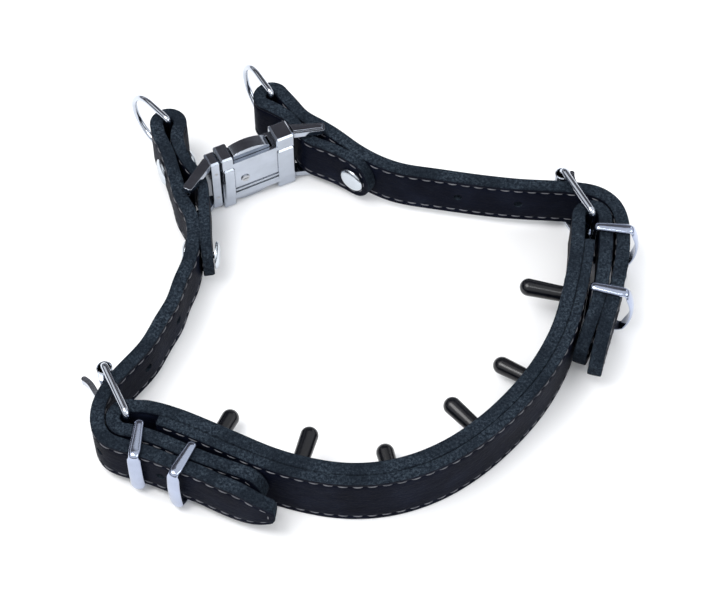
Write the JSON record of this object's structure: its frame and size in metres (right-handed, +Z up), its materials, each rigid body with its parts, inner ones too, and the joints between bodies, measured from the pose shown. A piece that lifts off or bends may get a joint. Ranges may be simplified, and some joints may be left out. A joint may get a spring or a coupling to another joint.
{
  "type": "prong dog collar",
  "caption": "Black stitched leather training collar: two-layer front band with rubber-capped prongs inside, roller buckles, leash D-rings and a quick-release clasp.",
  "frame": {"origin": "centre of the whole collar in plan, on the surface that its lower edge stands on", "axes": "+Z up from the lower edge to the upper edge; +X from the plug side to the housing side along the front band; +Y from the front band to the clasp"},
  "size_m": [0.2575, 0.2518, 0.037],
  "materials": {
    "black_leather": "near-black full-grain faces, charcoal cut edges, grey thread",
    "cap_rubber": "smooth black, slightly glossy",
    "steel": "plain steel",
    "rivet_nickel": "domed and polished",
    "bright_plating": "bright plated metal"
  },
  "bodies": {
    "collar": {"outer_strap": "black_leather", "inner_strap": "black_leather", "left_strap_front": "black_leather", "left_strap_bend": "black_leather", "right_strap": "black_leather", "left_frame": "bright_plating", "right_frame": "bright_plating", "right_loop_rivet": "rivet_nickel", "right_tail_rivet": "rivet_nickel", "buckle_housing": "bright_plating", "housing_screw": "steel", "prong_pin_1": "steel", "prong_pin_2": "steel", "prong_pin_3": "steel", "prong_pin_4": "steel", "prong_pin_5": "steel", "prong_pin_6": "steel", "prong_cap_1": "cap_rubber", "prong_cap_2": "cap_rubber", "prong_cap_3": "cap_rubber", "prong_cap_4": "cap_rubber", "prong_cap_5": "cap_rubber", "prong_cap_6": "cap_rubber"},
    "left_end": {"left_strap_rear": "black_leather", "left_loop_rivet": "rivet_nickel", "left_tail_rivet": "rivet_nickel", "buckle_plug": "bright_plating", "upper_arm_pin": "steel", "lower_arm_pin": "steel", "arm_spring": "steel"},
    "left_ring": {"left_d_ring": "bright_plating"},
    "right_ring": {"right_d_ring": "bright_plating"},
    "left_buckle_tongue": {"left_tongue": "bright_plating"},
    "right_buckle_tongue": {"right_tongue": "bright_plating"},
    "left_buckle_roller": {"left_roller": "bright_plating"},
    "right_buckle_roller": {"right_roller": "bright_plating"},
    "left_front_keeper": {"left_keeper_1": "bright_plating"},
    "left_rear_keeper": {"left_keeper_2": "bright_plating"},
    "right_front_keeper": {"right_keeper_1": "bright_plating"},
    "right_rear_keeper": {"right_keeper_2": "bright_plating"},
    "upper_arm": {"upper_release_arm": "bright_plating"},
    "lower_arm": {"lower_release_arm": "bright_plating"}
  },
  "joints": [
    {"name": "plug_pull", "type": "slide", "parent": "collar", "child": "left_end", "axis": [-0.8965, -0.443, 0], "range_m": [0, 0.028], "deforming": ["left_strap_bend", "upper_release_arm", "lower_release_arm", "arm_spring"]},
    {"name": "left_ring_swing", "type": "hinge", "parent": "left_end", "child": "left_ring", "pos_m": [-0.09614, 0.0839, 0.018], "axis": [0, 0, 1], "range_deg": [-80, 80]},
    {"name": "right_ring_swing", "type": "hinge", "parent": "collar", "child": "right_ring", "pos_m": [-0.04644, 0.1007, 0.018], "axis": [0, 0, 1], "range_deg": [-80, 80]},
    {"name": "left_tongue_lift", "type": "hinge", "parent": "collar", "child": "left_buckle_tongue", "pos_m": [-0.10544, -0.082, 0.018], "axis": [0, 0, 1], "range_deg": [0, 8]},
    {"name": "left_roller_turn", "type": "hinge", "parent": "collar", "child": "left_buckle_roller", "pos_m": [-0.1172, -0.05659, 0.018], "axis": [0, 0, 1], "continuous": true},
    {"name": "right_tongue_lift", "type": "hinge", "parent": "collar", "child": "right_buckle_tongue", "pos_m": [0.10616, 0.0276, 0.018], "axis": [0, 0, -1], "range_deg": [0, 8]},
    {"name": "right_roller_turn", "type": "hinge", "parent": "collar", "child": "right_buckle_roller", "pos_m": [0.09376, 0.0527, 0.018], "axis": [0, 0, 1], "continuous": true},
    {"name": "left_keeper_1_slide", "type": "slide", "parent": "collar", "child": "left_front_keeper", "axis": [0.9962, -0.0872, 0], "range_m": [0, 0.0025]},
    {"name": "left_keeper_2_slide", "type": "slide", "parent": "collar", "child": "left_rear_keeper", "axis": [0.891, -0.454, 0], "range_m": [-0.0015, 0.0015]},
    {"name": "right_keeper_1_slide", "type": "slide", "parent": "collar", "child": "right_front_keeper", "axis": [0.1045, 0.9945, 0], "range_m": [-0.0015, 0.0008]},
    {"name": "right_keeper_2_slide", "type": "slide", "parent": "collar", "child": "right_rear_keeper", "axis": [0.2419, 0.9703, 0], "range_m": [-0.0015, 0.0015]},
    {"name": "upper_arm_press", "type": "hinge", "parent": "left_end", "child": "upper_arm", "pos_m": [-0.07354, 0.05775, 0.0275], "axis": [-0.443, 0.8965, 0], "range_deg": [0, 9], "stiffness_Nm_per_rad": 0.4, "springref_deg": -5.73},
    {"name": "lower_arm_press", "type": "hinge", "parent": "left_end", "child": "lower_arm", "pos_m": [-0.07354, 0.05775, 0.0095], "axis": [0.443, -0.8965, 0], "range_deg": [0, 9], "stiffness_Nm_per_rad": 0.4, "springref_deg": -5.73}
  ]
}
